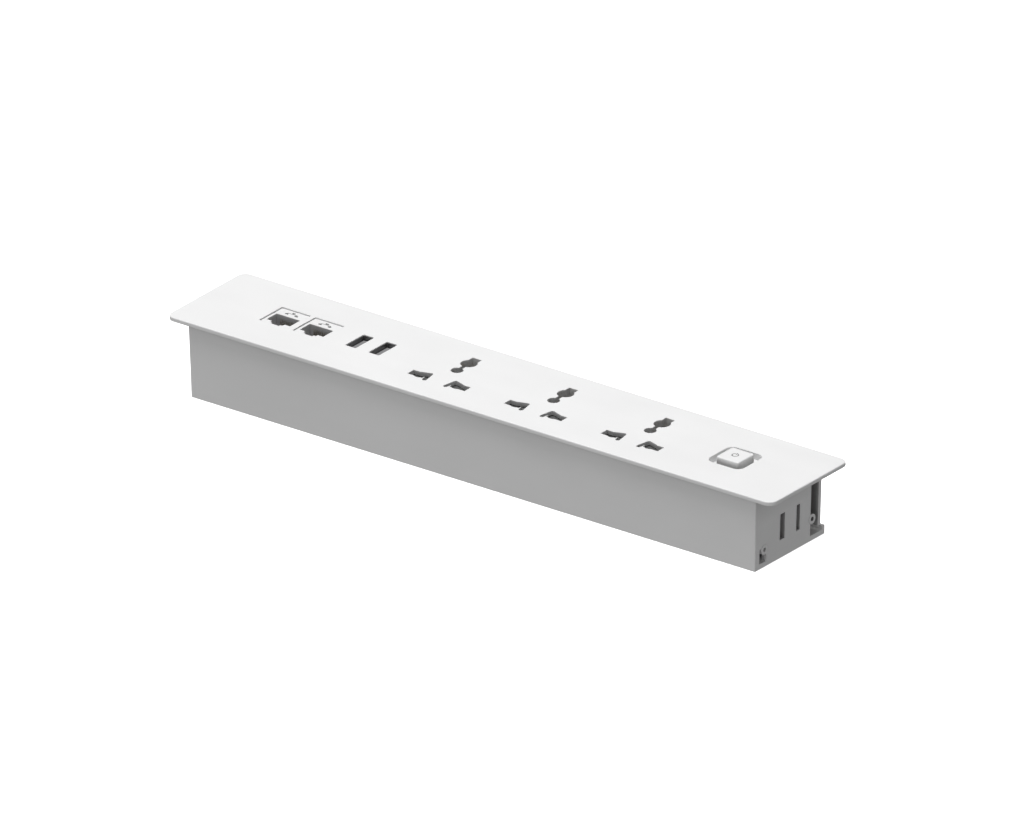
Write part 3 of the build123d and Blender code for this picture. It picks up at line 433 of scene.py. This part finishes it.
def sleeve_paint():
    """Dark blue shrink sleeve with a pale polarity stripe."""
    paint = Paint("sleeve_blue", 0.3, coat=0.25)
    geometry = paint.node("ShaderNodeNewGeometry")
    split = paint.node("ShaderNodeSeparateXYZ")
    paint.link(geometry.outputs["Normal"], split.inputs[0])
    stripe = paint.spread(split.outputs[1], -0.9, -0.94)
    cloud = paint.noise(700.0, 3.0)
    blue = paint.mix(cloud, (0.02, 0.035, 0.1), (0.03, 0.05, 0.14))
    paint.colour(paint.mix(stripe, blue, (0.6, 0.62, 0.66)))
    paint.relief(cloud, 0.015 * MM)
    return paint


def insulation(name, colour, stripe=None):
    """Extruded PVC: faint die lines along the wire, and a second colour where it has one."""
    paint = Paint(name, 0.36, coat=0.1)
    lines = paint.noise(1500.0, 2.0, (0.1, 1, 1))
    body = paint.mix(paint.spread(lines, *NOISE_RANGE), shade(colour, 0.86), colour)
    if stripe:
        geometry = paint.node("ShaderNodeNewGeometry")
        split = paint.node("ShaderNodeSeparateXYZ")
        paint.link(geometry.outputs["Normal"], split.inputs[0])
        body = paint.mix(paint.spread(split.outputs[2], 0.25, 0.35), body, stripe)
    paint.colour(body)
    paint.relief(lines, 0.01 * MM)
    return paint


paints["casing"] = casing_paint()
paints["tray"] = tray_paint()
paints["symbol_ink"] = symbol_paint()
paints["jack_plastic"] = jack_paint()
paints["circuit_board"] = board_paint()
paints["coil_tape"] = tape_paint()
paints["capacitor_can"] = sleeve_paint()
paints["live_insulation"] = insulation("live_brown", (0.16, 0.06, 0.025))
paints["neutral_insulation"] = insulation("neutral_blue", (0.03, 0.1, 0.42))
paints["earth_insulation"] = insulation("earth_green", (0.06, 0.3, 0.05), (0.75, 0.62, 0.05))

for part in frame["record"]["subparts"]:
    mesh = nodes[part["node"]].data
    mesh.materials.clear()
    mesh.materials.append(paints[part["material_slot"]].material)


# ---- wound springs ---------------------------------------------------------------------------
def tube(name, points, radius, sides=10):
    """A mesh tube along a list of points, closed at both ends."""
    mesh = bmesh.new()
    rings = []
    normal = None
    for index, point in enumerate(points):
        ahead = points[min(index + 1, len(points) - 1)]
        behind = points[max(index - 1, 0)]
        tangent = (ahead - behind).normalized()
        if normal is None:
            normal = tangent.orthogonal().normalized()
        normal = (normal - tangent * normal.dot(tangent)).normalized()
        side = tangent.cross(normal)
        rings.append([mesh.verts.new(point + radius * (normal * math.cos(2 * math.pi * k / sides)
                                                       + side * math.sin(2 * math.pi * k / sides)))
                      for k in range(sides)])
    for first, second in zip(rings, rings[1:]):
        for k in range(sides):
            mesh.faces.new((first[k], first[(k + 1) % sides], second[(k + 1) % sides], second[k]))
    mesh.faces.new(rings[0][::-1])
    mesh.faces.new(rings[-1])
    bmesh.ops.recalc_face_normals(mesh, faces=mesh.faces)
    data = bpy.data.meshes.new(name)
    mesh.to_mesh(data)
    mesh.free()
    for polygon in data.polygons:
        polygon.use_smooth = len(polygon.vertices) == 4
    piece = bpy.data.objects.new(name, data)
    scene.collection.objects.link(piece)
    return piece


STEPS_PER_TURN = 20
DEAD_TURNS = 1.0


def spring_points(start, axis, length, radius, wire_radius, turns):
    """A helix that has one closed turn at each end and an even pitch between."""
    across = axis.orthogonal().normalized()
    other = axis.cross(across)
    closed = DEAD_TURNS * 2 * wire_radius
    open_length = length - 2 * closed - 2 * wire_radius
    total = int((turns + 2 * DEAD_TURNS) * STEPS_PER_TURN)
    points = []
    for step in range(total + 1):
        turn = step / STEPS_PER_TURN
        if turn < DEAD_TURNS:
            along = turn * 2 * wire_radius
        elif turn < DEAD_TURNS + turns:
            along = closed + open_length * (turn - DEAD_TURNS) / turns
        else:
            along = closed + open_length + (turn - DEAD_TURNS - turns) * 2 * wire_radius
        angle = 2 * math.pi * turn
        points.append(start + axis * (along + wire_radius)
                      + radius * (across * math.cos(angle) + other * math.sin(angle)))
    return points


def wound_spring(name, start, axis, length, outer_radius, wire_radius, turns):
    """A spring piece in the spring steel finish that rides on the casing."""
    piece = tube(name, spring_points(start, axis, length, outer_radius - wire_radius, wire_radius,
                                     turns), wire_radius)
    piece.data.materials.append(paints["spring_steel"].material)
    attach(piece, "casing")
    return piece


SHUTTER_SPRING_WIRE = 0.2 * MM
SHUTTER_SPRING_TURNS = 8
RETURN_SPRING_WIRE = 0.25 * MM
RETURN_SPRING_TURNS = 5

for number in (1, 2, 3):
    low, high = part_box(f"shutter_springs_{number}")
    outer = (high.z - low.z) / 2
    length = high.y - low.y
    for side, x in (("left", low.x + outer), ("right", high.x - outer)):
        spring = wound_spring(f"shutter_{number}_{side}_spring",
                              Vector((x, low.y, (low.z + high.z) / 2)), Vector((0, 1, 0)),
                              length, outer, SHUTTER_SPRING_WIRE, SHUTTER_SPRING_TURNS)
        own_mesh(spring)
        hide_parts(f"shutter_springs_{number}")

low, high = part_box("return_spring")
outer = (high.x - low.x) / 2
spring = wound_spring("button_spring", Vector(((low.x + high.x) / 2, (low.y + high.y) / 2, low.z)),
                      Vector((0, 0, 1)), high.z - low.z, outer, RETURN_SPRING_WIRE,
                      RETURN_SPRING_TURNS)
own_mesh(spring)
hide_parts("return_spring")


# ---- network sign on each jack ---------------------------------------------------------------
SIGN_RAISE = 0.03 * MM
SIGN_BOX = (1.5 * MM, 0.85 * MM)
SIGN_LINE = 0.3 * MM
SIGN_STUB_RAISE = 0.9 * SIGN_RAISE
SIGN_SPREAD = 2.4 * MM
SIGN_BRANCH = 0.9 * MM
SIGN_BACK = 2.5 * MM
SIGN_PLACES = ((0, 1), (-1, -1), (1, -1))
CHAMFER_SHARE = 0.12


def raised_bar(mesh, centre, width, height, thick):
    """A flat bar with chamfered top edges, added to an open bmesh."""
    chamfer = min(width, height) * CHAMFER_SHARE
    rings = []
    for z, inset in ((-thick, 0), (thick / 2, 0), (thick, chamfer)):
        half_x = width / 2 - inset
        half_y = height / 2 - inset
        rings.append([mesh.verts.new(centre + Vector((x * half_x, y * half_y, z)))
                      for x, y in ((-1, -1), (1, -1), (1, 1), (-1, 1))])
    for first, second in zip(rings, rings[1:]):
        for k in range(4):
            mesh.faces.new((first[k], first[(k + 1) % 4], second[(k + 1) % 4], second[k]))
    mesh.faces.new(rings[0][::-1])
    mesh.faces.new(rings[-1])


def network_sign(number):
    """Three small boxes joined by a branching line: the generic sign for a wired network."""
    low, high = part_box(f"jack_body_{number}")
    centre = Vector(((low.x + high.x) / 2, high.y - SIGN_BACK, high.z))
    mesh = bmesh.new()
    for x, y in SIGN_PLACES:
        raised_bar(mesh, centre + Vector((x * SIGN_SPREAD, y * SIGN_BRANCH, 0)), *SIGN_BOX,
                   SIGN_RAISE)
    raised_bar(mesh, centre, 2 * SIGN_SPREAD + SIGN_LINE, SIGN_LINE, SIGN_RAISE)
    stub = SIGN_BRANCH - SIGN_BOX[1] / 2
    for x, y in SIGN_PLACES:
        raised_bar(mesh, centre + Vector((x * SIGN_SPREAD, y * (stub / 2 + SIGN_LINE / 4), 0)),
                   SIGN_LINE, stub, SIGN_STUB_RAISE)
    data = bpy.data.meshes.new(f"network_sign_{number}")
    mesh.to_mesh(data)
    mesh.free()
    sign = bpy.data.objects.new(f"network_sign_{number}", data)
    scene.collection.objects.link(sign)
    data.materials.append(paints["symbol_ink"].material)
    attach(sign, "casing")


for number in (1, 2):
    network_sign(number)
